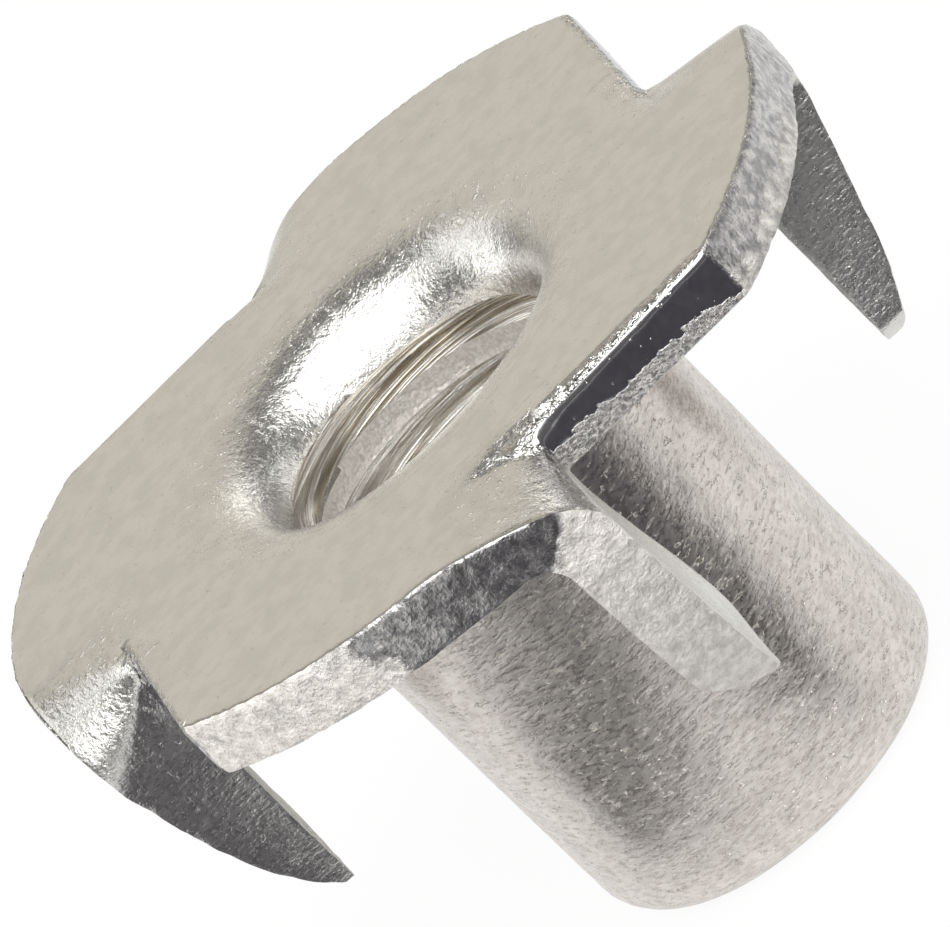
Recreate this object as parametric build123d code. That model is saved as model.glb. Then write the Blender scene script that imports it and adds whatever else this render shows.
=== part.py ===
from build123d import *
from math import cos, radians, sin
import os

# Four-prong tee nut for a 3/8-16 thread, drawn and pierced from one piece of stainless sheet.
#
# The origin is the centre of the barrel's open end, which the nut stands on. +Z is the
# barrel's axis, towards the flange and the mouth, so the barrel and the prongs point down.
# The front prong (towards -Y) is drawn first, and the others are turned copies of it.
# All lengths are in millimetres and all angles in degrees.

# Sheet and flange
SHEET = 1.8
FLANGE_RADIUS = 12.6
EDGE_BREAK = 0.2

# Barrel, drawn down from the flange
LENGTH = 16.0
BARREL_RADIUS = 5.66
MOUTH_ROUND = 2.7
SEAT_ROUND = 0.9
END_ROUND = 1.15
COUNTERSINK_RADIUS = 4.3

# Bore at the crests of the thread. The fine thread itself is not in the solid
CREST_RADIUS = 4.15

# Slits that free the prongs. Each runs parallel to a side of the frame
SLIT_OFFSET = 9.75
SLIT_END = 1.8

# Prongs: a claw outline, given as widths out from the slit edge and depths below the top
PRONG_DEPTH = 9.6
PRONG_TIP_WIDTH = 0.18
SHOULDER_DEPTH = 1.2
CLAW_START_WIDTH = 2.62
CLAW_START_DEPTH = 3.4
CLAW_MIDDLE_WIDTH = 1.75
CLAW_MIDDLE_DEPTH = 7.3
TIP_BEVEL = 1.7

# Bends: tight where the slit ends and wider at the flange's rim
BEND_AT_SLIT = 0.9
BEND_AT_RIM = 3.0
CREASE_AT_SLIT = 0.3
CREASE_AT_RIM = 1.2

# How far each prong is bent past square, in turn: front, right, back, left
OVERBEND = (-2.0, 6.0, 4.0, 9.0)

TOP = LENGTH
SEAT = TOP - SHEET
PRONG_TIP = TOP - PRONG_DEPTH
STRIP_START = SLIT_END - BEND_AT_RIM - 1

# How far the handles of a quarter round reach, as a share of its radius
HANDLE = 0.5523


def quarter_round(start, corner, end):
    """A quarter round from start to end, tangent to the lines that meet at the corner."""
    start, corner, end = Vector(*start), Vector(*corner), Vector(*end)
    return Bezier(start, start + (corner - start) * HANDLE, end + (corner - end) * HANDLE, end)


def drawn_blank():
    """Flange and barrel as one section turned about the axis, with the rounded mouth."""
    mouth_edge = (CREST_RADIUS + MOUTH_ROUND, TOP)
    mouth_bottom = (CREST_RADIUS, TOP - MOUTH_ROUND)
    sink_top = (CREST_RADIUS, COUNTERSINK_RADIUS - CREST_RADIUS)
    sink_edge = (COUNTERSINK_RADIUS, 0)
    end_edge = (BARREL_RADIUS - END_ROUND, 0)
    end_side = (BARREL_RADIUS, END_ROUND)
    seat_side = (BARREL_RADIUS, SEAT - SEAT_ROUND)
    seat_edge = (BARREL_RADIUS + SEAT_ROUND, SEAT)
    section = [
        quarter_round(mouth_edge, (CREST_RADIUS, TOP), mouth_bottom),
        Line(mouth_bottom, sink_top),
        Line(sink_top, sink_edge),
        Line(sink_edge, end_edge),
        quarter_round(end_edge, (BARREL_RADIUS, 0), end_side),
        Line(end_side, seat_side),
        quarter_round(seat_side, (BARREL_RADIUS, SEAT), seat_edge),
        Line(seat_edge, (FLANGE_RADIUS, SEAT)),
        Line((FLANGE_RADIUS, SEAT), (FLANGE_RADIUS, TOP)),
        Line((FLANGE_RADIUS, TOP), mouth_edge),
    ]
    return revolve(make_face(Plane.XZ * Wire(section)), Axis.Z)


def bend_section(outer, crease, overbend):
    """Side view of a prong bent down at X = SLIT_END, as a closed wire in the XZ plane.

    The outer face runs level, round the bend and down the prong. The inner face follows
    it one sheet thickness away, with its own tighter crease, and curves out to the tip.
    """
    lean = radians(overbend)
    down = Vector(-sin(lean), -cos(lean))
    inward = Vector(-cos(lean), sin(lean))
    outer_centre = Vector(SLIT_END - outer, TOP - outer)
    outer_end = outer_centre - inward * outer
    outer_leg = (outer_end.Y - PRONG_TIP) / cos(lean)

    inner_face = outer_end + inward * SHEET
    crease_z = SEAT - crease
    crease_x = inner_face.X - (crease - (crease_z - inner_face.Y) * sin(lean)) / cos(lean)
    crease_centre = Vector(crease_x, crease_z)
    crease_end = crease_centre - inward * crease
    inner_leg = (inner_face.Y - PRONG_TIP - TIP_BEVEL) / cos(lean)
    half = radians(45 - overbend / 2)
    bisector = Vector(cos(half), sin(half))

    outer_tip = outer_end + down * outer_leg
    inner_tip = inner_face + down * inner_leg
    bevel_middle = (outer_tip + inner_tip) / 2 + (down + inward) * (0.12 * TIP_BEVEL)
    edges = [
        Line((STRIP_START, TOP), (outer_centre.X, TOP)),
        ThreePointArc((outer_centre.X, TOP), outer_centre + bisector * outer, outer_end),
        Line(outer_end, outer_tip),
        ThreePointArc(outer_tip, bevel_middle, inner_tip),
        Line(inner_tip, crease_end),
        ThreePointArc(crease_end, crease_centre + bisector * crease, (crease_x, SEAT)),
        Line((crease_x, SEAT), (STRIP_START, SEAT)),
        Line((STRIP_START, SEAT), (STRIP_START, TOP)),
    ]
    return Wire(edges)


def claw_outline():
    """A prong seen square on: a straight slit edge, and an outer edge that curves to the tip."""
    slit_edge = -SLIT_OFFSET
    tip = (slit_edge - PRONG_TIP_WIDTH, PRONG_TIP - 0.01)
    claw_middle = (slit_edge - CLAW_MIDDLE_WIDTH, TOP - CLAW_MIDDLE_DEPTH)
    claw_start = (slit_edge - CLAW_START_WIDTH, TOP - CLAW_START_DEPTH)
    shoulder = (-FLANGE_RADIUS, TOP - SHOULDER_DEPTH)
    outline = [
        Line((slit_edge, TOP), (slit_edge, tip[1])),
        Line((slit_edge, tip[1]), tip),
        ThreePointArc(tip, claw_middle, claw_start),
        Line(claw_start, shoulder),
        Line(shoulder, (-FLANGE_RADIUS, TOP)),
        Line((-FLANGE_RADIUS, TOP), (slit_edge, TOP)),
    ]
    return make_face(Plane.YZ * Wire(outline))


def prong(overbend):
    """The front prong, bent from the strip that the slit frees at the flange's rim."""
    at_slit = Plane.XZ.offset(SLIT_OFFSET) * bend_section(BEND_AT_SLIT, CREASE_AT_SLIT, overbend)
    at_rim = Plane.XZ.offset(FLANGE_RADIUS) * bend_section(BEND_AT_RIM, CREASE_AT_RIM, overbend)
    strip = Solid.make_loft([at_slit, at_rim], ruled=True)
    claw = extrude(claw_outline(), 12, both=True)
    rim = Pos(0, 0, TOP / 2) * Cylinder(FLANGE_RADIUS, 4 * LENGTH)
    beyond = Pos(10, 0, 0) * Box(20, 4 * FLANGE_RADIUS, 4 * LENGTH)
    return strip & claw & (rim + beyond)


def notch():
    """The space at the rim that the front prong leaves when it is bent down."""
    corner = (STRIP_START, -2 * FLANGE_RADIUS, SEAT - 1)
    size = (2 * FLANGE_RADIUS, 2 * FLANGE_RADIUS - SLIT_OFFSET, SHEET + 2)
    return Pos(*corner) * Box(*size, align=(Align.MIN, Align.MIN, Align.MIN))


def tee_nut():
    body = drawn_blank()
    for index in range(4):
        body -= Rot(0, 0, 90 * index) * notch()
    for index, overbend in enumerate(OVERBEND):
        body += Rot(0, 0, 90 * index) * prong(overbend)
    nut = body.solids().sort_by(SortBy.VOLUME)[-1]
    top_face = nut.faces().filter_by(Plane.XY).sort_by(Axis.Z)[-1]
    rim_arcs = top_face.outer_wire().edges().filter_by(GeomType.CIRCLE)
    return nut.chamfer(EDGE_BREAK, None, rim_arcs)


os.makedirs("parts", exist_ok=True)
solid = tee_nut()
solid.label = "tee_nut"
export_step(solid, "parts/tee_nut.step")
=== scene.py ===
import math
import random

import bmesh
import bpy
from mathutils import Euler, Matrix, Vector, noise
from mathutils.geometry import delaunay_2d_cdt


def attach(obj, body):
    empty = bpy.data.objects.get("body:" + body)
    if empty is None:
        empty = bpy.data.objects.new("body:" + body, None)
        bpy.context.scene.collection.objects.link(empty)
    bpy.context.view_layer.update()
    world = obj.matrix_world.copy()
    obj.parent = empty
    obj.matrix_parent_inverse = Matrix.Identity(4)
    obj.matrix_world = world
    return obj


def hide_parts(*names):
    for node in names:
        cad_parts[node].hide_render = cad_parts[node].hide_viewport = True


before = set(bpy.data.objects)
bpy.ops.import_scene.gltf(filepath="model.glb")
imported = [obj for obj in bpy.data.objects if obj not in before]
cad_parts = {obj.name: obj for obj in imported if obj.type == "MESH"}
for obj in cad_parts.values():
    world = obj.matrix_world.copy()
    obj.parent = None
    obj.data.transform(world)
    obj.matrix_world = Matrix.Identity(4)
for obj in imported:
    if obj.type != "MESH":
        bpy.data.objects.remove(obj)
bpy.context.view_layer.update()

MM = 0.001
scene = bpy.context.scene

# The nut, in millimetres and in the frame's own axes: the barrel stands on Z = 0
TOP = 16.0
SHEET = 1.8
SEAT = TOP - SHEET
RIM = 12.70
BARREL_LOW_RADIUS = 5.64
BARREL_HIGH_RADIUS = 5.72
END_ROUND = 1.15
SEAT_ROUND = 0.9
MOUTH_ROUND = 2.7
PLATE_START = 7.2

# The 3/8-16 thread: a groove between crests, at GROOVE_LEVEL where it crosses the X axis
PITCH = 1.5875
MAJOR_RADIUS = 4.7625
CREST_RADIUS = 4.15
GROOVE_WIDTH = 0.86
ROOT_WIDTH = 0.20
GROOVE_LEVEL = 13.303
CREST_BURR = 0.03
SINK_DEPTH = 0.15

# The front slit runs along Y = -SLIT from SLIT_END to the rim, and frees the front prong
SLIT = 9.75
SLIT_END = 1.8
SLIT_MOUTH = math.sqrt(RIM ** 2 - SLIT ** 2)
STRIP_START = -2.2
STRIP_WIDTH = RIM - SLIT

# Prongs. Where there are four values, they are for the front, right, back and left prongs
PRONG_TIP = 6.4
BEVELS = (8.1, 7.45, 8.1, 7.9)
BEND = 2.6
CREASE = 0.9
JOIN = 2.2
LEANS = [math.radians(a) for a in (-2.0, 8.2, 5.5, 10.0)]

# This nut's own deformations: bowed and flared legs, edges sunk beside the slits, a swollen rim
BOWS = (0.0, 0.42, 0.25, 0.20)
FLARE = 0.34
DROOPS_AT_SLIT = (0.51, 0.45, 0.16, 0.45)
DROOPS_AT_RIM = (0.60, 0.12, 0.30, 0.50)
ROLL_WIDTH = 0.8
ROLL_WIDTH_ALONG_SLIT = 0.34
RIM_SWELL = (0.0, 0.16, 0.11, 0.0)

# How far each prong's outer edge is pushed out, at depths below the top
SPREADS = (
    ((0.0, 0.0), (9.6, 0.0)),
    ((0.0, 0.16), (1.2, 0.34), (2.2, 0.38), (3.2, 0.24), (4.4, 0.0), (6.0, -0.16), (8.4, -0.18), (9.6, 0.0)),
    ((0.0, 0.0), (9.6, 0.0)),
    ((0.0, 0.0), (2.4, -0.05), (4.2, -0.12), (6.5, -0.10), (8.2, 0.0), (9.6, 0.10)),
)

# How far each leg stands out sideways at its tip, and how much longer it is
SPLAYS = (0.0, 0.0, 0.05, 0.14)
LONGER = (0.0, 0.24, 0.0, 0.05)

# A prong's claw outline: its width from the slit edge, at depths below the top
CLAW = (
    (0.0, 2.95), (1.2, 2.90), (3.0, 2.76), (4.4, 2.54), (5.2, 2.36), (6.0, 2.15), (6.8, 1.88),
    (7.4, 1.64), (8.0, 1.34), (8.4, 1.10), (8.9, 0.78), (9.27, 0.48), (9.6, 0.16),
)

# How finely each part is divided
AROUND = 224
THICK_STEPS = 12
FLAT_STEPS = 16
ARC_STEPS = 14
LEG_STEPS = 44
ACROSS = 16
SLIT_STEPS = 42
RIM_STEPS = 58
BEVEL_SHARE = 0.72
TOP_SPACING = 0.19
SEAT_SPACING = 0.34
EDGE_RINGS = (0.13, 0.29)

# What each face is: rolled sheet, a sheared edge, a slit's wall, the drawn barrel's outside, or
# the thread's grooves and crests
SHEETED, SHEARED, SLITTED, DRAWN, THREADED, CRESTED = range(6)

points = []
faces = []
zones = []


def mix(a, b, t):
    """The value that share t of the way from a to b."""
    return a + (b - a) * t


def smooth_step(a, b, value):
    """From 0 at a to 1 at b, level at both ends."""
    t = min(max((value - a) / (b - a), 0.0), 1.0)
    return t * t * (3 - 2 * t)


def turned(row, quarter):
    """The points turned about the axis by that many quarters."""
    c, s = ((1, 0), (0, 1), (-1, 0), (0, -1))[quarter % 4]
    return [(c * x - s * y, s * x + c * y, z) for x, y, z in row]


def add_grid(rows, zone):
    """Quads between rows of points, all of that kind of surface."""
    start = len(points)
    width = len(rows[0])
    for row in rows:
        points.extend(row)
    for i in range(len(rows) - 1):
        for j in range(width - 1):
            a = start + i * width + j
            faces.append((a, a + 1, a + 1 + width, a + width))
            zones.append(zone)


def claw_width(depth):
    """How far a prong reaches out from its slit edge, at that depth below the top."""
    for (d0, w0), (d1, w1) in zip(CLAW, CLAW[1:]):
        if depth <= d1:
            return mix(w0, w1, max(depth - d0, 0.0) / (d1 - d0))
    return CLAW[-1][1]


def strip_width(x, depth):
    """How far the bent strip reaches out from its slit edge: to the rim, or less down the claw."""
    return min(math.sqrt(RIM ** 2 - min(x, SLIT_END) ** 2) - SLIT, claw_width(depth))


def leg_x(z, lean, outer):
    """Where a prong's outer or inner face stands at that height."""
    x = SLIT_END - (TOP - z) * math.tan(lean)
    return x if outer else x - SHEET / math.cos(lean)


def strip_rows():
    """The rows across a prong, from the flange to the tip: the part each is in, and how far on."""
    rows = [("flat", i / FLAT_STEPS) for i in range(FLAT_STEPS)]
    rows += [("arc", i / ARC_STEPS) for i in range(ARC_STEPS)]
    rows += [("upper", i / THICK_STEPS) for i in range(THICK_STEPS)]
    rows += [("lower", i / LEG_STEPS) for i in range(LEG_STEPS + 1)]
    return rows


def strip_path(part, t, h, lean, bevel, outer):
    """A point of a bent prong's side view, on the outer or the inner face, h out from the slit."""
    share = (h / STRIP_WIDTH) ** 0.6
    radius = (BEND if outer else CREASE) * share
    level = TOP if outer else SEAT
    back = radius if outer else radius + SHEET
    centre_x = SLIT_END - back * (1 + math.sin(lean)) / math.cos(lean)
    centre_z = level - radius
    join = SEAT - JOIN * share
    if part == "flat":
        return mix(STRIP_START, centre_x, t), level
    if part == "arc":
        angle = mix(math.pi / 2, -lean, t)
        return centre_x + radius * math.cos(angle), centre_z + radius * math.sin(angle)
    if part == "upper":
        z = mix(centre_z - radius * math.sin(lean), join, t)
        return leg_x(z, lean, outer), z
    if t <= BEVEL_SHARE:
        z = mix(join, bevel, t / BEVEL_SHARE)
        return leg_x(z, lean, outer), z
    q = (t - BEVEL_SHARE) / (1 - BEVEL_SHARE)
    if outer:
        z = mix(bevel, PRONG_TIP, q)
        return leg_x(z, lean, True), z
    x0, x2 = leg_x(bevel, lean, False), leg_x(PRONG_TIP, lean, True)
    x1, z1 = mix(x0, x2, 0.25), mix(bevel, PRONG_TIP, 0.72)
    a, b, c = (1 - q) ** 2, 2 * q * (1 - q), q * q
    return a * x0 + b * x1 + c * x2, a * bevel + b * z1 + c * PRONG_TIP


def strip_point(part, t, v, lean, bevel, outer):
    """A point of the front prong. v runs from its slit edge, 0, to its outer edge, 1."""
    h = v * STRIP_WIDTH
    for _ in range(5):
        x, z = strip_path(part, t, h, lean, bevel, outer)
        h = v * strip_width(x, TOP - z)
    return x, -SLIT - h, z


def between(a, b, steps):
    """Points in even steps from a to b, with both ends."""
    return [tuple(mix(p, q, i / steps) for p, q in zip(a, b)) for i in range(steps + 1)]


def add_prong(quarter, lean):
    """A prong's outer and inner faces and its sheared edges."""
    across = [0.6 * j / ACROSS + 0.2 * (1 - math.cos(math.pi * j / ACROSS)) for j in range(ACROSS + 1)]
    rows = strip_rows()
    bevel = BEVELS[quarter]
    outer = [[strip_point(part, t, v, lean, bevel, True) for v in across] for part, t in rows]
    inner = [[strip_point(part, t, v, lean, bevel, False) for v in across] for part, t in rows]
    add_grid([turned(row, quarter) for row in outer], SHEETED)
    add_grid([turned(row, quarter) for row in inner], SHEETED)
    edge = [between(a[-1], b[-1], THICK_STEPS) for a, b in zip(outer, inner)]
    add_grid([turned(row, quarter) for row in edge], SHEARED)
    leg = FLAT_STEPS + ARC_STEPS + THICK_STEPS
    side = [between(a[0], b[0], THICK_STEPS) for a, b in zip(outer[leg:], inner[leg:])]
    add_grid([turned(row, quarter) for row in side], SHEARED)
    return outer, inner


def rim_arc(z):
    """The rim from the front slit's mouth round to the next prong, at that height."""
    start = -math.acos(SLIT_MOUTH / RIM)
    end = -math.asin(-STRIP_START / RIM)
    angles = [mix(start, end, i / RIM_STEPS) for i in range(RIM_STEPS + 1)]
    return [(RIM * math.cos(a), RIM * math.sin(a), z) for a in angles]


def add_walls(quarter, lean):
    """The sheared slit face beside the front prong, and the rim that follows it."""
    levels = [mix(TOP, SEAT, i / THICK_STEPS) for i in range(THICK_STEPS + 1)]
    mouth = rim_arc(0)[0]
    slit_rows = [
        between((leg_x(z, lean, True), -SLIT, z), (mouth[0], mouth[1], z), SLIT_STEPS) for z in levels
    ]
    add_grid([turned(row, quarter) for row in slit_rows], SLITTED)
    add_grid([turned(rim_arc(z), quarter) for z in levels], SHEARED)
    return slit_rows[0], slit_rows[-1]


def in_plate(x, y):
    """Whether a point is on the flat of the flange: not in a slit's notch or on a bent strip."""
    if not PLATE_START < math.hypot(x, y) < RIM:
        return False
    for c, s in ((1, 0), (0, 1), (-1, 0), (0, -1)):
        if -s * x + c * y < -SLIT and c * x + s * y > STRIP_START:
            return False
    return True


def inner_ring(outline, inset):
    """The outline moved in by that much, without the points that come too near it at corners."""
    ring = []
    for i, (x, y, _) in enumerate(outline):
        before, after = outline[i - 1], outline[(i + 1) % len(outline)]
        dx, dy = after[0] - before[0], after[1] - before[1]
        length = math.hypot(dx, dy)
        px, py = x - dy / length * inset, y + dx / length * inset
        reach = 0.6 * inset
        if all(in_plate(px + a, py + b) for a in (-reach, reach) for b in (-reach, reach)):
            ring.append((px, py))
    return ring


def add_plate(outline, spacing):
    """One face of the flange: a fine triangle mesh inside the outline, round the mouth's circle."""
    z = outline[0][2]
    circle = [2 * math.pi * i / AROUND for i in range(AROUND)]
    circle = [(PLATE_START * math.cos(a), PLATE_START * math.sin(a)) for a in circle]
    flat = [(x, y) for x, y, _ in outline]
    edges = [(i, (i + 1) % len(flat)) for i in range(len(flat))]
    edges += [(len(flat) + i, len(flat) + (i + 1) % AROUND) for i in range(AROUND)]
    flat += circle
    for inset in EDGE_RINGS:
        flat += inner_ring(outline, inset)
    seeded = random.Random(4)
    reach = EDGE_RINGS[-1] + 0.4 * spacing
    count = int(RIM / spacing) + 2
    around = [(reach * math.cos(a * math.pi / 4), reach * math.sin(a * math.pi / 4)) for a in range(8)]
    for j in range(-2 * count, 2 * count):
        for i in range(-count, count):
            x = (i + 0.5 * (j % 2)) * spacing + seeded.uniform(-0.1, 0.1) * spacing
            y = j * spacing * 0.866 + seeded.uniform(-0.1, 0.1) * spacing
            if all(in_plate(x + a, y + b) for a, b in around):
                flat.append((x, y))
    verts, _, tris, _, _, _ = delaunay_2d_cdt([Vector(p) for p in flat], edges, [], 0, 1e-7)
    start = len(points)
    points.extend((p.x, p.y, z) for p in verts)
    for tri in tris:
        x = sum(verts[i].x for i in tri) / 3
        y = sum(verts[i].y for i in tri) / 3
        if in_plate(x, y) and math.hypot(x, y) > PLATE_START * 1.0005:
            faces.append(tuple(start + i for i in tri))
            zones.append(SHEETED)


def bore_radius(z):
    """The mouth's round, then the crests' radius down to the countersink."""
    low = TOP - MOUTH_ROUND
    if z > low:
        return CREST_RADIUS + MOUTH_ROUND - math.sqrt(max(MOUTH_ROUND ** 2 - (z - low) ** 2, 0))
    return CREST_RADIUS + max(SINK_DEPTH - z, 0)


def groove_radius(offset):
    """The groove's depth at that distance along the axis from its middle."""
    flank = (GROOVE_WIDTH - ROOT_WIDTH) / 2
    t = (abs(offset) - ROOT_WIDTH / 2) / flank
    return mix(MAJOR_RADIUS, CREST_RADIUS, min(max(t, 0), 1))


def add_thread(low, high):
    """The bore, in rows that follow the thread's helix, between two level rings."""
    offsets = (-0.43, -0.32, -0.21, -0.10, 0.0, 0.10, 0.21, 0.32, 0.43, 0.575, 0.72, 0.865, 1.01)
    per_turn = len(offsets)
    first = math.floor((low - GROOVE_LEVEL) / PITCH) - 2
    last = math.ceil((high - GROOVE_LEVEL) / PITCH) + 1
    start = len(points)
    phases = [(k, o) for k in range(first, last + 1) for o in offsets]
    in_mouth = []
    for i in range(AROUND):
        turn = i / AROUND
        angle = 2 * math.pi * turn
        for k, offset in phases:
            z = min(max(GROOVE_LEVEL + PITCH * (turn + k) + offset, low), high)
            middle = GROOVE_LEVEL + PITCH * (turn + k + (1 if offset > PITCH / 2 else 0))
            cut = groove_radius(z - middle)
            cut = mix(CREST_RADIUS, cut, smooth_step(0.25, 1.3, z) * smooth_step(14.75, 14.35, middle))
            radius = max(bore_radius(z), cut)
            in_mouth.append(z > TOP - MOUTH_ROUND and cut < bore_radius(z) + 1e-6)
            if abs(offset) == GROOVE_WIDTH / 2:
                radius -= CREST_BURR * smooth_step(1.0, 1.4, z) * smooth_step(13.4, 12.9, z)
            points.append((radius * math.cos(angle), radius * math.sin(angle), z))
    count = len(phases)
    for i in range(AROUND):
        for m in range(count - 1):
            if i + 1 < AROUND:
                quad = (i * count + m, i * count + count + m, i * count + count + m + 1, i * count + m + 1)
            elif m + per_turn + 1 < count:
                quad = (i * count + m, m + per_turn, m + per_turn + 1, i * count + m + 1)
            else:
                continue
            if len({tuple(round(c, 5) for c in points[start + q]) for q in quad}) > 2:
                faces.append(tuple(start + q for q in quad))
                crest = GROOVE_WIDTH / 2 - 1e-6 <= offsets[m % per_turn] < PITCH - GROOVE_WIDTH / 2
                bore = CRESTED if crest else THREADED
                zones.append(SHEETED if all(in_mouth[q] for q in quad) else bore)


def add_turned(profile, zone):
    """A surface of revolution through the (radius, height) points."""
    angles = [2 * math.pi * i / AROUND for i in range(AROUND + 1)]
    angles[-1] = 0.0
    add_grid([[(r * math.cos(a), r * math.sin(a), z) for a in angles] for r, z in profile], zone)


def quarter_arc(centre, radius, start, end, steps):
    """Points of an arc between two angles in degrees, with both ends."""
    angles = [math.radians(mix(start, end, i / steps)) for i in range(steps + 1)]
    return [(centre[0] + radius * math.cos(a), centre[1] + radius * math.sin(a)) for a in angles]


def add_core():
    """The mouth, the threaded bore and the outside of the drawn barrel."""
    low, high = SINK_DEPTH, 15.1
    seat_side = SEAT - SEAT_ROUND
    mouth = [(PLATE_START, TOP), (7.03, TOP)]
    centre = (CREST_RADIUS + MOUTH_ROUND, TOP - MOUTH_ROUND)
    bottom = math.degrees(math.acos((bore_radius(high) - centre[0]) / MOUTH_ROUND))
    mouth += quarter_arc(centre, MOUTH_ROUND, 90, bottom, 16)
    add_turned(mouth, SHEETED)
    add_thread(low, high)
    end_edge = BARREL_LOW_RADIUS - END_ROUND
    outside = [(CREST_RADIUS, SINK_DEPTH), (4.225, 0.075), (4.30, 0.0), (end_edge, 0.0)]
    outside += quarter_arc((end_edge, END_ROUND), END_ROUND, -90, 0, 12)[1:]
    outside += between((BARREL_LOW_RADIUS, END_ROUND), (BARREL_HIGH_RADIUS, seat_side), 76)[1:]
    outside += quarter_arc((BARREL_HIGH_RADIUS + SEAT_ROUND, seat_side), SEAT_ROUND, 180, 90, 8)[1:]
    outside += [(6.8, SEAT), (7.0, SEAT), (PLATE_START, SEAT)]
    add_turned(outside, DRAWN)


def build_mesh():
    """Fills points, faces and zones with the whole nut, before it is deformed."""
    top, bottom = [], []
    for quarter, lean in enumerate(LEANS):
        outer, inner = add_prong(quarter, lean)
        slit_top, slit_bottom = add_walls(quarter, lean)
        up = outer[0][::-1] + [row[0] for row in outer[1:FLAT_STEPS]]
        down = inner[0][::-1] + [row[0] for row in inner[1:FLAT_STEPS]]
        leg = FLAT_STEPS + ARC_STEPS + THICK_STEPS
        foot = between(outer[leg][0], inner[leg][0], THICK_STEPS)[::-1]
        top += turned(up + slit_top + rim_arc(TOP)[1:-1], quarter)
        bottom += turned(down + foot + slit_bottom[1:] + rim_arc(SEAT)[1:-1], quarter)
    add_plate(top, TOP_SPACING)
    add_plate(bottom, SEAT_SPACING)
    add_core()


def droop(x, y, z, slit_drop, at_rim):
    """How far the sheet's upper side sinks beside the front prong: rolled over along the slit."""
    inside = y + SLIT
    if inside > ROLL_WIDTH or x < -2.8 or x > SLIT_MOUTH:
        return 0.0
    upper = min(max((z - SEAT) / SHEET, 0), 1)
    lower = min(max((z - PRONG_TIP) / (SEAT - PRONG_TIP), 0), 1)
    width = mix(ROLL_WIDTH, ROLL_WIDTH_ALONG_SLIT, smooth_step(SLIT_END - 0.8, SLIT_END + 0.6, x))
    roll = max(1 - max(inside, 0) / width, 0) ** 2 * upper
    if x > SLIT_END:
        along = (SLIT_MOUTH - x) / (SLIT_MOUTH - SLIT_END)
        return roll * mix(0.10, slit_drop, along ** 1.3)
    at_slit = roll * slit_drop * smooth_step(-1.2, SLIT_END, x)
    sunk = at_rim * smooth_step(-2.7, 0.6, x) * mix(0.3 * lower, 1.0, upper)
    return mix(at_slit, sunk, min(max(-inside, 0) / STRIP_WIDTH, 1))


def bow(x, y, z, amount):
    """How far the front prong's leg stands out past its straight line."""
    out = -SLIT - y
    depth = TOP - z
    if out < -1e-3 or x < -2.0 or depth < 0.3:
        return 0.0
    start = mix(1.8, 0.4, min(max(out, 0) / 0.8, 1))
    share = max(out, 0) / claw_width(depth)
    whole = amount * smooth_step(start, start + 2.6, depth)
    flare = FLARE * smooth_step(2.0, 7.0, depth) * (1 - 0.8 * smooth_step(7.0, 9.6, depth))
    lip = flare * max(1 - share, 0) ** 1.8
    return (whole + lip) * smooth_step(-1.6, 0.4, x)


def listed(table, value):
    """The table's second number at that value of its first, in straight steps."""
    for (a, low), (b, high) in zip(table, table[1:]):
        if value <= b:
            return mix(low, high, max(value - a, 0) / (b - a))
    return table[-1][1]


def settle(p):
    """Where a point goes in this nut's own deformations: slit edges, prongs and rim."""
    x, y, z = p
    across = math.hypot(x, y)
    if across > 8 and z > SEAT - 0.01:
        for quarter in range(4):
            (fx, fy, fz), = turned([(x, y, z)], -quarter)
            share = (math.degrees(math.atan2(fy, fx)) + 50.2) / 40.2
            if 0 < share < 1:
                swell = RIM_SWELL[quarter] * math.sin(math.pi * share) * ((across - 8) / (RIM - 8)) ** 2
                x, y = x * (1 + swell / across), y * (1 + swell / across)
    for quarter in range(4):
        (fx, fy, fz), = turned([(x, y, z)], -quarter)
        if fy > -SLIT + ROLL_WIDTH or fx < -3 or fx > SLIT_MOUTH + 0.1:
            continue
        depth = TOP - fz
        out = max(-SLIT - fy, 0)
        fy2 = fy
        if out > 0 and fx < SLIT_END + 0.6:
            share = min(out / min(claw_width(depth), STRIP_WIDTH), 1)
            fy2 -= listed(SPREADS[quarter], depth) * share ** 1.5 * smooth_step(-2.8, 1.0, fx + 0.25 * depth)
        if fx < SLIT_END + 0.6 and fz < SEAT:
            fy2 -= SPLAYS[quarter] * smooth_step(2.0, 9.6, depth)
        fx2 = fx + bow(fx, fy, fz, BOWS[quarter])
        fz2 = fz - droop(fx, fy, fz, DROOPS_AT_SLIT[quarter], DROOPS_AT_RIM[quarter])
        if fz < SEAT and fx < SLIT_END + 0.6:
            fz2 -= LONGER[quarter] * smooth_step(5.0, 9.6, depth)
        (x, y, z), = turned([(fx2, fy2, fz2)], quarter)
    return x, y, z


def relax(bm, verts, factor, rounds):
    """Moves each vertex towards its neighbours' middle, that many times."""
    for _ in range(rounds):
        bmesh.ops.smooth_vert(
            bm, verts=verts, factor=factor, use_axis_x=True, use_axis_y=True, use_axis_z=True
        )


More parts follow.
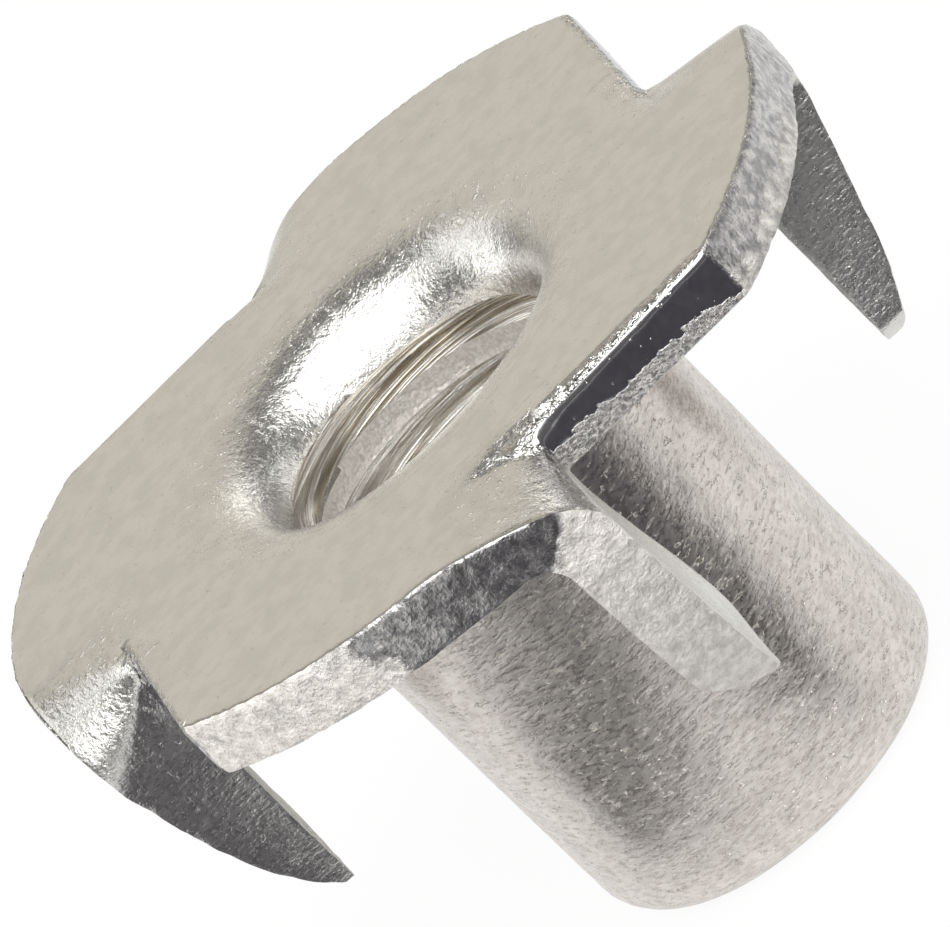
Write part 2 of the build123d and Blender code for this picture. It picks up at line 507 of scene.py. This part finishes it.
def soften(bm):
    """Rounds the sheet's sheared edges, the upper ones more, and the domes where slits end."""
    sharp = set()
    for edge in bm.edges:
        kinds = {face.material_index for face in edge.link_faces}
        middle = (edge.verts[0].co + edge.verts[1].co) / 2
        if math.hypot(middle.x, middle.y) < 7.5:
            continue
        if len(kinds) > 1 or edge.calc_face_angle(0) > 0.9:
            sharp.update(edge.verts)
    near = set(sharp)
    for vert in sharp:
        near.update(edge.other_vert(vert) for edge in vert.link_edges)
    upper = [v for v in near if v.co.z > TOP - 0.9]
    tips = [v for v in sharp if v.co.z < PRONG_TIP + 0.7]
    rest = [v for v in sharp if v.co.z >= PRONG_TIP + 0.7]
    relax(bm, upper, 0.5, 2)
    relax(bm, rest, 0.5, 1)
    relax(bm, tips, 0.25, 1)
    domes = []
    for vert in bm.verts:
        for quarter in range(4):
            (fx, fy, fz), = turned([tuple(vert.co)], -quarter)
            if fz > TOP - 1.9 and math.hypot(fx - 1.5, fy + SLIT + 0.15) < 0.95 and fy < -SLIT + 0.8:
                domes.append(vert)
                break
    relax(bm, domes, 0.5, 5)


def rough(p, scale, salt):
    """Smooth noise about 0 at that point, with its own pattern for each salt."""
    return noise.noise(Vector((p[0] * scale[0] + salt, p[1] * scale[1], p[2] * scale[2])))


def fracture_share(p):
    """How far a point of a slit face lies in the torn strip below the clean cut, from 0 to 1."""
    ragged = 0.20 * rough(p, (0.9, 0.9, 0.4), 11) + 0.18 * rough(p, (3.4, 3.4, 1.2), 23)
    along = math.sqrt(max(p[0] ** 2 + p[1] ** 2 - SLIT ** 2, 0))
    level = 0.74 - 0.08 * smooth_step(2.5, 4.5, along) - 0.38 * smooth_step(6.7, 7.8, along)
    return smooth_step(0.0, 0.14, SEAT + level + ragged - p[2])


def worked_share(p):
    """How much the sheet was stretched there: most in the mouth and round the prongs' bends."""
    across = math.hypot(p[0], p[1])
    if across < 7.6:
        return smooth_step(7.4, 6.2, across)
    share = 0.0
    for quarter in range(4):
        (fx, fy, fz), = turned([tuple(p)], -quarter)
        if fy > -SLIT + 1.4 or fx < -2.5 or fx > SLIT_END + 1.2:
            continue
        start = smooth_step(-1.6, 0.2, fx + 0.6 * (TOP - fz)) * smooth_step(-SLIT + 1.4, -SLIT + 0.2, fy)
        share = max(share, start * mix(1.0, 0.3, smooth_step(SEAT + 0.6, SEAT - 1.6, fz)))
    return share


def edge_share(p):
    """How near the flange's top is to a slit's rolled edge, from 0 to 1."""
    for quarter in range(4):
        (fx, fy, fz), = turned([tuple(p)], -quarter)
        if fz > TOP - 1.0 and SLIT_END - 0.8 < fx < SLIT_MOUTH and abs(fy + SLIT) < 0.5:
            return 1 - abs(fy + SLIT) / 0.5
    return 0.0


def sheared_share(p):
    """How torn a sheared edge is: cleanest round a prong's bend and on the rim just before it."""
    ragged = 0.25 * rough(p, (0.9, 0.9, 0.9), 67) + 0.25 * rough(p, (2.8, 2.8, 1.6), 71)
    for quarter in range(4):
        (fx, fy, fz), = turned([tuple(p)], -quarter)
        if fy > -7.5 or not -10.0 < fx < 3.2:
            continue
        depth = TOP - fz
        if fx < -2.2:
            low = 0.45 * smooth_step(0.7, 1.5, depth) * smooth_step(-2.6, -5.0, fx)
            most = 0.8 if quarter == 0 else 0.15
            return smooth_step(0.1, 0.9, mix(0.1, most, smooth_step(-3.5, -6.5, fx)) + low + ragged)
        leg = smooth_step(-0.35, 0.75, fx + 0.93 * depth - 1.90 + 0.7 * ragged)
        return mix(smooth_step(0.35, 0.75, 0.2 + ragged), 1.0, leg)
    return 1.0


def relief(p, kinds):
    """How far the surface stands in or out of its ideal shape there, and its torn share."""
    torn = 0.0
    if kinds == {DRAWN}:
        fade = smooth_step(0.0, 0.8, p[2])
        peel = 0.014 * rough(p, (1.3, 1.3, 2.4), 3) + 0.008 * rough(p, (2.2, 2.2, 4.2), 5)
        return peel * fade + 0.02 * rough(p, (0.45, 0.45, 0.35), 7), torn
    if SLITTED in kinds:
        torn = fracture_share(p)
        rag = 0.030 * rough(p, (2.6, 2.6, 2.6), 13) + 0.012 * rough(p, (5, 5, 5), 17)
        return (-0.05 + rag) * torn, torn
    if SHEARED in kinds:
        torn = sheared_share(p)
        scored = 0.020 * rough(p, (3.0, 3.0, 0.8), 29)
        return scored + 0.022 * rough(p, (2.2, 2.2, 2.2), 31) + 0.010 * rough(p, (5, 5, 5), 37), torn
    if kinds == {SHEETED} and math.hypot(p[0], p[1]) < 7.3:
        return 0.007 * rough(p, (2.2, 2.2, 2.2), 41), torn
    if kinds == {SHEETED}:
        leg = smooth_step(TOP - 0.2, TOP - 2.5, p[2])
        waves = 0.016 * rough(p, (0.35, 0.35, 0.35), 43) + 0.0018 * rough(p, (2.4, 2.4, 2.4), 47)
        return waves + leg * 0.010 * rough(p, (1.6, 1.6, 1.6), 53), torn
    return 0.0, torn


def add_relief(bm):
    """Moves each vertex by its relief, and notes for the materials what happened to it."""
    torn_layer = bm.verts.layers.float.new("torn")
    worked_layer = bm.verts.layers.float.new("worked")
    edge_layer = bm.verts.layers.float.new("edge")
    moves = []
    for vert in bm.verts:
        kinds = {face.material_index for face in vert.link_faces}
        step, torn = relief(vert.co, kinds)
        vert[torn_layer] = torn
        vert[worked_layer] = worked_share(vert.co)
        vert[edge_layer] = edge_share(vert.co)
        if len(kinds) > 1 and vert.co.z > SEAT + 0.5:
            vert[edge_layer] = 1.0
            step += (0.045 if SLITTED in kinds else 0.016) * rough(vert.co, (3.6, 3.6, 3.6), 61)
        moves.append(vert.normal * step)
    for vert, move in zip(bm.verts, moves):
        vert.co += move


def shaped_mesh():
    """The nut's mesh in metres, with its deformations, soft edges and relief."""
    build_mesh()
    bm = bmesh.new()
    made = [bm.verts.new(p) for p in points]
    for face, zone in zip(faces, zones):
        bm.faces.new([made[i] for i in face]).material_index = zone
    bmesh.ops.remove_doubles(bm, verts=bm.verts, dist=4e-4)
    bmesh.ops.dissolve_degenerate(bm, dist=1e-5, edges=bm.edges)
    bmesh.ops.recalc_face_normals(bm, faces=bm.faces)
    for vert in bm.verts:
        vert.co = settle(vert.co)
    soften(bm)
    bm.normal_update()
    add_relief(bm)
    bmesh.ops.scale(bm, vec=(MM, MM, MM), verts=bm.verts)
    mesh = bpy.data.meshes.new("tee_nut_dressed")
    bm.to_mesh(mesh)
    bm.free()
    mesh.shade_smooth()
    mesh.set_sharp_from_angle(angle=math.radians(45))
    return mesh


def add_nut():
    """The dressed nut, which stands for the CAD node. Its materials follow the zones' order."""
    mesh = shaped_mesh()
    materials = (
        sheet_steel(), sheared_steel(), slit_steel(), drawn_steel(), thread_steel(), crest_steel()
    )
    for material in materials:
        mesh.materials.append(material)
    nut = bpy.data.objects.new("tee_nut_dressed", mesh)
    scene.collection.objects.link(nut)
    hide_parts("tee_nut")
    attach(nut, "root")


def add_camera():
    """The photograph's viewpoint: a long lens, turned about its own axis."""
    data = bpy.data.cameras.new("photo_camera")
    data.sensor_width = 36.0
    data.lens = 542.2
    data.clip_end = 5.0
    camera = bpy.data.objects.new("photo_camera", data)
    camera.location = Vector((14.46, -340.42, 154.46)) * MM
    camera.rotation_euler = Euler([math.radians(a) for a in (59.202, 41.154, -18.974)])
    scene.collection.objects.link(camera)
    scene.camera = camera


def add_lamp(name, place, aim, size, power, colour):
    """A soft box aimed at a point, with places and sizes in metres and its power in watts."""
    data = bpy.data.lights.new(name, "AREA")
    data.shape = "RECTANGLE"
    data.size, data.size_y = size
    data.energy = power
    data.color = colour
    lamp = bpy.data.objects.new(name, data)
    lamp.location = place
    lamp.rotation_euler = (Vector(aim) - Vector(place)).to_track_quat("-Z", "Y").to_euler()
    lamp.visible_camera = False
    scene.collection.objects.link(lamp)


def dim_world():
    """A dim, even light from all round."""
    world = bpy.data.worlds.new("studio")
    world.use_nodes = True
    nodes, links = world.node_tree.nodes, world.node_tree.links
    nodes.clear()
    out = nodes.new("ShaderNodeOutputWorld")
    soft = nodes.new("ShaderNodeBackground")
    soft.inputs["Color"].default_value = (1, 1, 1, 1)
    soft.inputs["Strength"].default_value = 0.16
    links.new(soft.outputs[0], out.inputs["Surface"])
    scene.world = world


class Shader:
    """Short hands for a node material whose textures are laid out in millimetres."""

    def __init__(self, name, metallic=1.0):
        self.material = bpy.data.materials.new(name)
        self.material.use_nodes = True
        self.nodes = self.material.node_tree.nodes
        self.links = self.material.node_tree.links
        self.main = self.nodes["Principled BSDF"]
        self.main.inputs["Metallic"].default_value = metallic
        place = self.nodes.new("ShaderNodeTexCoord")
        self.place = self.scaled(place.outputs["Object"], (1 / MM, 1 / MM, 1 / MM))

    def scaled(self, socket, scale):
        node = self.nodes.new("ShaderNodeMapping")
        node.inputs["Scale"].default_value = scale
        self.links.new(socket, node.inputs["Vector"])
        return node.outputs["Vector"]

    def noise(self, scale, detail=3.0, rough=0.55, stretch=(1, 1, 1)):
        node = self.nodes.new("ShaderNodeTexNoise")
        node.inputs["Scale"].default_value = scale
        node.inputs["Detail"].default_value = detail
        node.inputs["Roughness"].default_value = rough
        self.links.new(self.scaled(self.place, stretch), node.inputs["Vector"])
        return node.outputs["Fac"]

    def ramp(self, socket, low, high, start=0.0, end=1.0):
        node = self.nodes.new("ShaderNodeMapRange")
        node.interpolation_type = "SMOOTHSTEP"
        for name, value in zip(("From Min", "From Max", "To Min", "To Max"), (low, high, start, end)):
            node.inputs[name].default_value = value
        self.links.new(socket, node.inputs["Value"])
        return node.outputs["Result"]

    def math(self, kind, a, b):
        node = self.nodes.new("ShaderNodeMath")
        node.operation = kind
        for index, value in enumerate((a, b)):
            if isinstance(value, (int, float)):
                node.inputs[index].default_value = value
            else:
                self.links.new(value, node.inputs[index])
        return node.outputs[0]

    def blend(self, share, a, b):
        node = self.nodes.new("ShaderNodeMix")
        node.data_type = "RGBA"
        for socket, value in ((node.inputs[0], share), (node.inputs[6], a), (node.inputs[7], b)):
            if isinstance(value, (int, float)):
                socket.default_value = value
            elif isinstance(value, tuple):
                socket.default_value = (*value, 1)
            else:
                self.links.new(value, socket)
        return node.outputs[2]

    def attribute(self, name):
        node = self.nodes.new("ShaderNodeAttribute")
        node.attribute_name = name
        return node.outputs["Fac"]

    def bump(self, height, depth, before=None):
        """Adds relief: the height socket from 0 to 1 is that many millimetres deep."""
        node = self.nodes.new("ShaderNodeBump")
        node.inputs["Strength"].default_value = 1.0
        node.inputs["Distance"].default_value = depth * MM
        self.links.new(height, node.inputs["Height"])
        if before is not None:
            self.links.new(before, node.inputs["Normal"])
        return node.outputs["Normal"]

    def finish(self, colour, roughness, normal):
        self.links.new(colour, self.main.inputs["Base Color"])
        self.links.new(roughness, self.main.inputs["Roughness"])
        self.links.new(normal, self.main.inputs["Normal"])
        return self.material


STEEL = (0.68, 0.665, 0.635)


def darker(share):
    """The sheet's steel, made darker, or lighter with a share above 1."""
    return tuple(c * share for c in STEEL)


def sheet_steel():
    """The rolled sheet's faces: satin with a fine grain, coarser where the sheet was worked."""
    s = Shader("sheet_steel")
    worked = s.attribute("worked")
    edge = s.attribute("edge")
    strong = s.math("MAXIMUM", worked, s.math("MULTIPLY", edge, 1.5))
    chain = s.math("MULTIPLY", s.noise(4.6, 2, 0.5), s.ramp(edge, 0.2, 0.9))
    knock = s.math("MULTIPLY", s.ramp(s.noise(3.8, 3, 0.6), 0.60, 0.66), s.ramp(worked, 0.35, 0.6))
    leg = s.math("MULTIPLY", s.ramp(worked, 0.1, 0.28), s.ramp(worked, 0.7, 0.4))
    streak = s.math("MULTIPLY", s.noise(1.0, 3, 0.6, (3.5, 3.5, 9)), leg)
    mottle = s.noise(1.6, 4)
    grain = s.noise(7.0, 3)
    fine = s.noise(16.0, 2)
    peel = s.noise(4.0, 3, 0.6)
    pits = s.ramp(s.noise(4.2, 2), 0.68, 0.74)
    scratch = s.ramp(s.noise(1.0, 2, 0.5, (12, 1.1, 1.1)), 0.72, 0.77)
    colour = s.blend(s.ramp(mottle, 0.35, 0.65), darker(0.955), darker(1.045))
    colour = s.blend(s.math("MULTIPLY", pits, 0.25), colour, darker(0.6))
    colour = s.blend(s.math("MULTIPLY", s.ramp(chain, 0.25, 0.5), 0.5), colour, darker(0.55))
    roughness = s.math("SUBTRACT", s.ramp(grain, 0.3, 0.7, 0.27, 0.35), s.math("MULTIPLY", strong, 0.06))
    normal = s.bump(fine, 0.004)
    normal = s.bump(grain, 0.010, normal)
    normal = s.bump(s.math("MULTIPLY", peel, strong), 0.030, normal)
    normal = s.bump(knock, 0.012, normal)
    normal = s.bump(streak, 0.030, normal)
    normal = s.bump(chain, 0.20, normal)
    normal = s.bump(s.math("SUBTRACT", 1.0, s.math("MAXIMUM", pits, scratch)), 0.008, normal)
    return s.finish(colour, roughness, normal)


def sheared_steel():
    """Sheared edges: smooth and dark under the upper edge, torn, coarse and lighter elsewhere."""
    s = Shader("sheared_steel")
    coarse = s.noise(3.0, 5, 0.65)
    torn = s.ramp(s.math("ADD", s.attribute("torn"), s.math("MULTIPLY", coarse, 0.5)), 0.50, 1.20)
    speck = s.noise(8.0, 3, 0.6)
    score = s.noise(1.0, 3, 0.6, (5, 5, 1.0))
    rough = s.blend(s.ramp(coarse, 0.3, 0.7), (0.68, 0.65, 0.60), (1.0, 0.96, 0.90))
    clean = s.blend(s.ramp(coarse, 0.35, 0.65), (0.30, 0.29, 0.29), (0.66, 0.64, 0.62))
    colour = s.blend(torn, clean, rough)
    roughness = s.math("ADD", 0.26, s.math("MULTIPLY", torn, 0.26))
    s.links.new(s.math("SUBTRACT", 1.0, s.math("MULTIPLY", torn, 0.78)), s.main.inputs["Metallic"])
    share = s.math("ADD", 0.35, s.math("MULTIPLY", torn, 0.65))
    normal = s.bump(s.math("MULTIPLY", speck, share), 0.06)
    normal = s.bump(s.math("MULTIPLY", coarse, share), 0.16, normal)
    normal = s.bump(score, 0.02, normal)
    return s.finish(colour, roughness, normal)


def slit_steel():
    """A slit's face: burnished where the punch cut clean, grey and torn in a strip below."""
    s = Shader("slit_steel")
    jag = s.math("MULTIPLY", s.math("SUBTRACT", s.noise(6.0, 3), 0.5), 1.2)
    torn = s.ramp(s.math("ADD", s.attribute("torn"), jag), 0.35, 0.65)
    speck = s.noise(8.0, 4, 0.65)
    line = s.noise(2.4, 4, 0.6)
    spot = s.ramp(s.noise(5.0, 2), 0.68, 0.76)
    clean = s.blend(s.ramp(line, 0.3, 0.7), (0.44, 0.43, 0.45), (0.54, 0.53, 0.54))
    broken = s.blend(s.ramp(speck, 0.35, 0.65), (0.38, 0.37, 0.36), (0.90, 0.87, 0.84))
    colour = s.blend(torn, clean, broken)
    colour = s.blend(s.math("MULTIPLY", spot, 0.6), colour, darker(1.2))
    roughness = s.math("ADD", 0.16, s.math("MULTIPLY", torn, 0.34))
    rough_part = s.math("MULTIPLY", torn, speck)
    normal = s.bump(line, 0.001)
    normal = s.bump(spot, 0.012, normal)
    normal = s.bump(rough_part, 0.22, normal)
    return s.finish(colour, roughness, normal)


def drawn_steel():
    """The drawn barrel's outside: short dents round it, a fine grain and light scratches."""
    s = Shader("drawn_steel")
    grain = s.noise(1.0, 4, 0.6, (3.4, 3.4, 8.0))
    fine = s.noise(1.0, 2, 0.6, (9, 9, 20))
    dent = s.ramp(s.noise(1.0, 2, 0.5, (2.2, 2.2, 8.0)), 0.61, 0.67)
    knock = s.ramp(s.noise(1.0, 2, 0.5, (3.6, 3.6, 3.6)), 0.66, 0.73)
    mottle = s.noise(1.1, 4)
    colour = s.blend(s.ramp(mottle, 0.3, 0.7), (0.66, 0.625, 0.58), (0.78, 0.74, 0.69))
    colour = s.blend(s.ramp(grain, 0.35, 0.6), s.blend(0.5, colour, (0.40, 0.365, 0.32)), colour)
    roughness = s.ramp(grain, 0.3, 0.7, 0.23, 0.34)
    normal = s.bump(fine, 0.008)
    normal = s.bump(grain, 0.024, normal)
    normal = s.bump(s.math("SUBTRACT", 1.0, dent), 0.030, normal)
    normal = s.bump(s.math("SUBTRACT", 1.0, knock), 0.022, normal)
    return s.finish(colour, roughness, normal)


def thread_steel():
    """The thread's grooves: lines turned by the tap, brown, and bright on the flanks with white painted in
    as highlights.
    """
    s = Shader("thread_steel")
    line = s.noise(1.0, 3, 0.6, (0.12, 0.12, 13))
    # The tap's lines, in brown and in white: the white is a painted highlight.
    colour = s.blend(s.ramp(line, 0.35, 0.65), (0.44, 0.39, 0.31), (1.0, 0.99, 0.97))
    normal = s.bump(line, 0.07)
    return s.finish(colour, s.ramp(line, 0.3, 0.7, 0.18, 0.28), normal)


def crest_steel():
    """The thread's crests: grey, with a fine sanded grain."""
    s = Shader("crest_steel", 0.7)
    grain = s.noise(9.0, 3)
    colour = s.blend(s.ramp(grain, 0.3, 0.7), (0.74, 0.71, 0.66), (0.97, 0.94, 0.89))
    normal = s.bump(grain, 0.03)
    return s.finish(colour, s.ramp(grain, 0.3, 0.7, 0.38, 0.5), normal)


def floor_paper():
    """Plain white paper, which metal shows as the camera does."""
    s = Shader("floor_paper", 0.0)
    s.main.inputs["Base Color"].default_value = (0.93, 0.93, 0.93, 1)
    s.main.inputs["Roughness"].default_value = 0.9
    s.main.inputs["Specular IOR Level"].default_value = 0.0
    glow = s.nodes.new("ShaderNodeEmission")
    rays = s.nodes.new("ShaderNodeLightPath")
    seen = s.math("MAXIMUM", rays.outputs["Is Camera Ray"], rays.outputs["Is Glossy Ray"])
    seen = s.math("MAXIMUM", seen, rays.outputs["Is Transmission Ray"])
    both = s.nodes.new("ShaderNodeMixShader")
    s.links.new(s.math("MULTIPLY", seen, 0.92), both.inputs[0])
    s.links.new(s.main.outputs[0], both.inputs[1])
    s.links.new(glow.outputs[0], both.inputs[2])
    s.links.new(both.outputs[0], s.nodes["Material Output"].inputs["Surface"])
    return s.material


def painted_shade_card():
    """Dull dark grey card: painted shade, which only the metal's reflections show."""
    s = Shader("painted_shade_card", 0.0)
    s.main.inputs["Base Color"].default_value = (0.075, 0.073, 0.083, 1)
    s.main.inputs["Roughness"].default_value = 0.9
    s.main.inputs["Specular IOR Level"].default_value = 0.0
    return s.material


def add_sheet(name, corners, height, material):
    """A flat sheet of the studio's, given by its corners in millimetres."""
    sheet_mesh = bpy.data.meshes.new(name)
    sheet_mesh.from_pydata([(x * MM, y * MM, height * MM) for x, y in corners], [], [range(len(corners))])
    sheet_mesh.materials.append(material)
    sheet = bpy.data.objects.new(name, sheet_mesh)
    scene.collection.objects.link(sheet)
    return sheet


# The studio's sheets, seen from above. The cards leave the paper that the photo's view takes in
PAPER = ((-500, -500), (500, -500), (500, 500), (-500, 500))
# The cards are painted shade: hidden from the camera and from shadows, they only darken what the metal
# mirrors.
LEFT_SHADE_CARD = ((-22, -300), (0.4, -300), (0.4, -26.4), (-9.8, -2.6), (-22, -1.6))
RIGHT_SHADE_CARD = ((0.4, -300), (300, -300), (300, -101), (6.8, -7.9), (0.4, -26.4))
CARD_HEIGHT = 0.3


def add_studio():
    """White paper under the nut, and two dark cards before it that only its metal mirrors: painted shade in
    its reflections.
    """
    add_sheet("floor", PAPER, 0, floor_paper())
    card = painted_shade_card()
    for name, corners in (("left_shade_card", LEFT_SHADE_CARD), ("right_shade_card", RIGHT_SHADE_CARD)):
        sheet = add_sheet(name, corners, CARD_HEIGHT, card)
        sheet.visible_camera = False
        sheet.visible_shadow = False


# Each soft box's name, place, size, power and colour. All are aimed at the nut
NUT_MIDDLE = (0, 0, 0.01)
WARM = (1.0, 0.945, 0.815)
WHITE = (1, 1, 1)
LAMPS = (
    ("back_wall", (0.0, 0.583, 0.35), (0.95, 0.80), 1.40, WARM),
    ("front_top", (0.03, -0.26, 0.38), (0.80, 0.50), 4.2, WHITE),
    ("left_box", (-0.42, 0.16, 0.14), (0.20, 0.22), 0.30, WHITE),
    ("left_top", (-0.42, 0.18, 0.44), (0.34, 0.30), 0.42, WHITE),
    ("right_box", (0.42, 0.12, 0.12), (0.16, 0.20), 0.14, WHITE),
    ("right_back", (0.30, 0.42, 0.22), (0.17, 0.10), 0.11, WHITE),
)

add_nut()
add_camera()
dim_world()
add_studio()
for name, place, size, power, colour in LAMPS:
    add_lamp(name, place, NUT_MIDDLE, size, power, colour)

scene.view_settings.view_transform = "Standard"
